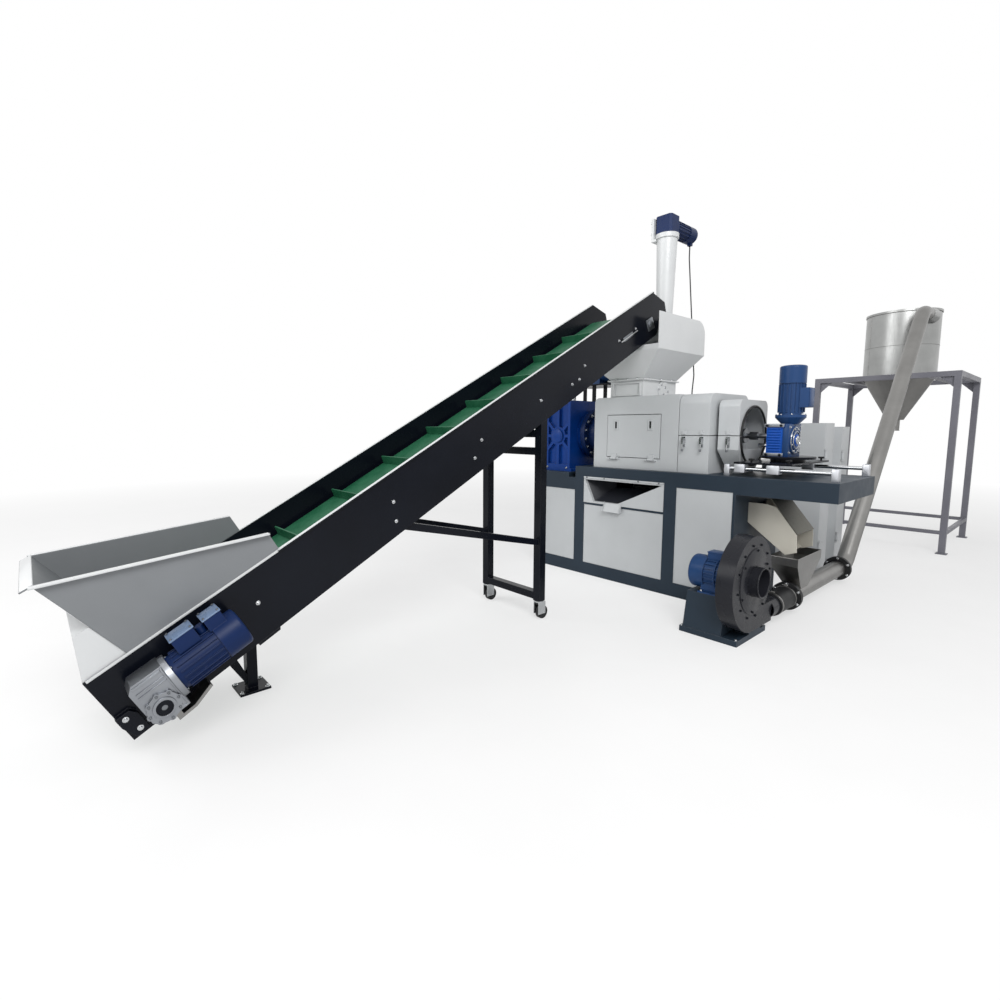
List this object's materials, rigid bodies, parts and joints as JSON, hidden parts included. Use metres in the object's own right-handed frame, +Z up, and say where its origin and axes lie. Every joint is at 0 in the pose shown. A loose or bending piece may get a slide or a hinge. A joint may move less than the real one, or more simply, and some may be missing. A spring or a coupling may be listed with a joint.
{
  "type": "plastic pelletizing line",
  "caption": "Squeezer pelletizing line with inclined feed conveyor, feed hopper, sliding die-face cutter, pellet blower, conveying pipe and storage silo.",
  "frame": {"origin": "on the floor under the barrel, at the underside of the machine base's cross rail", "axes": "+X along the barrel towards the cutter, +Y away from the feeding side, +Z up"},
  "size_m": [2.83, 9.5167, 3.351],
  "materials": {
    "slate_paint": "semi-gloss slate machine paint",
    "grey_panel": "light grey textured powder coat",
    "white_paint": "smooth light grey-white paint",
    "white_scoop": "smooth light grey-white paint",
    "cream_paint": "cream paint",
    "blue_paint": "blue drive enamel",
    "navy_paint": "dark navy drive enamel",
    "black_paint": "gloss near-black paint",
    "steel": "machined steel",
    "stainless": "brushed stainless sheet",
    "chrome_rail": "hard-chromed rail and zinc-plated blocks",
    "aluminium": "cast aluminium",
    "green_belt": "green coated conveyor belt",
    "cable_rubber": "black rubber",
    "caster_tyre": "black caster tread"
  },
  "bodies": {
    "machine": {"base_frame": "slate_paint", "base_panels": "grey_panel", "base_scoop": "white_scoop", "main_gearbox": "blue_paint", "thrust_housing": "navy_paint", "motor_frame": "black_paint", "main_motor": "blue_paint", "barrel": "steel", "barrel_housing": "grey_panel", "end_housing": "grey_panel", "die_chamber": "grey_panel", "hopper_throat": "white_paint", "cover_latches": "chrome_rail", "feed_hopper": "white_paint", "feeder_column": "white_paint", "feeder_gearmotor": "blue_paint", "feeder_cable": "cable_rubber", "slide_rails": "chrome_rail", "blower_volute": "slate_paint", "blower_motor": "blue_paint", "blower_stand": "slate_paint", "pipe_couplings": "cable_rubber", "venturi_feeder": "stainless", "pellet_chute": "cream_paint", "chute_deflector": "stainless", "riser_pipe": "stainless", "silo_shell": "stainless", "silo_cone": "stainless", "silo_frame": "slate_paint", "control_cabinets": "grey_panel", "conveyor_sides": "black_paint", "conveyor_bed": "black_paint", "conveyor_belt": "green_belt", "conveyor_drums": "steel", "conveyor_hopper": "white_paint", "tail_cover": "white_paint", "conveyor_gearbox": "aluminium", "conveyor_motor": "blue_paint", "torque_arm": "stainless", "conveyor_foot": "black_paint", "trolley_frame": "black_paint"},
    "door": {"housing_door": "grey_panel"},
    "end_lid": {"end_cover": "grey_panel"},
    "die_lid": {"die_cover": "grey_panel"},
    "carriage": {"carriage_plate": "black_paint"},
    "cutter_head": {"turntable": "black_paint", "cutter_gearbox": "blue_paint", "cutter_motor": "blue_paint"},
    "rotor": {"cutter_rotor": "steel"},
    "cabinet_a": {"cabinet_door_a": "grey_panel"},
    "cabinet_b": {"cabinet_door_b": "grey_panel"},
    "fork_right": {"caster_fork_right": "chrome_rail"},
    "fork_left": {"caster_fork_left": "chrome_rail"},
    "wheel_right": {"caster_wheel_right": "caster_tyre"},
    "wheel_left": {"caster_wheel_left": "caster_tyre"}
  },
  "joints": [
    {"name": "door_hinge", "type": "hinge", "parent": "machine", "child": "door", "pos_m": [-0.4265, -0.374, 1.163], "axis": [1, 0, 0], "range_deg": [0, 90]},
    {"name": "end_cover_hinge", "type": "hinge", "parent": "machine", "child": "end_lid", "pos_m": [0.1465, 0.375, 1.38275], "axis": [-1, 0, 0], "range_deg": [0, 85]},
    {"name": "die_cover_hinge", "type": "hinge", "parent": "machine", "child": "die_lid", "pos_m": [0.388, 0.282, 1.38275], "axis": [-1, 0, 0], "range_deg": [0, 85]},
    {"name": "carriage_slide", "type": "slide", "parent": "machine", "child": "carriage", "axis": [1, 0, 0], "range_m": [0, 0.25]},
    {"name": "turntable_swivel", "type": "hinge", "parent": "carriage", "child": "cutter_head", "pos_m": [0.74, 0, 1.205], "axis": [0, 0, 1], "range_deg": [-12, 12]},
    {"name": "cutter_spin", "type": "hinge", "parent": "cutter_head", "child": "rotor", "pos_m": [0.6, 0, 1.38], "axis": [1, 0, 0], "continuous": true},
    {"name": "cabinet_a_hinge", "type": "hinge", "parent": "machine", "child": "cabinet_a", "pos_m": [0.66, 1.191, 0.745], "axis": [0, 0, 1], "range_deg": [0, 100]},
    {"name": "cabinet_b_hinge", "type": "hinge", "parent": "machine", "child": "cabinet_b", "pos_m": [0.628, 1.838, 0.7275], "axis": [0, 0, 1], "range_deg": [0, 100]},
    {"name": "caster_swivel_right", "type": "hinge", "parent": "machine", "child": "fork_right", "pos_m": [-0.3285, -1.70644, 0.14], "axis": [0, 0, 1], "continuous": true},
    {"name": "wheel_spin_right", "type": "hinge", "parent": "fork_right", "child": "wheel_right", "pos_m": [-0.3285, -1.67644, 0.05], "axis": [1, 0, 0], "continuous": true},
    {"name": "caster_swivel_left", "type": "hinge", "parent": "machine", "child": "fork_left", "pos_m": [-0.9035, -1.70644, 0.14], "axis": [0, 0, 1], "continuous": true},
    {"name": "wheel_spin_left", "type": "hinge", "parent": "fork_left", "child": "wheel_left", "pos_m": [-0.9035, -1.67644, 0.05], "axis": [1, 0, 0], "continuous": true}
  ]
}
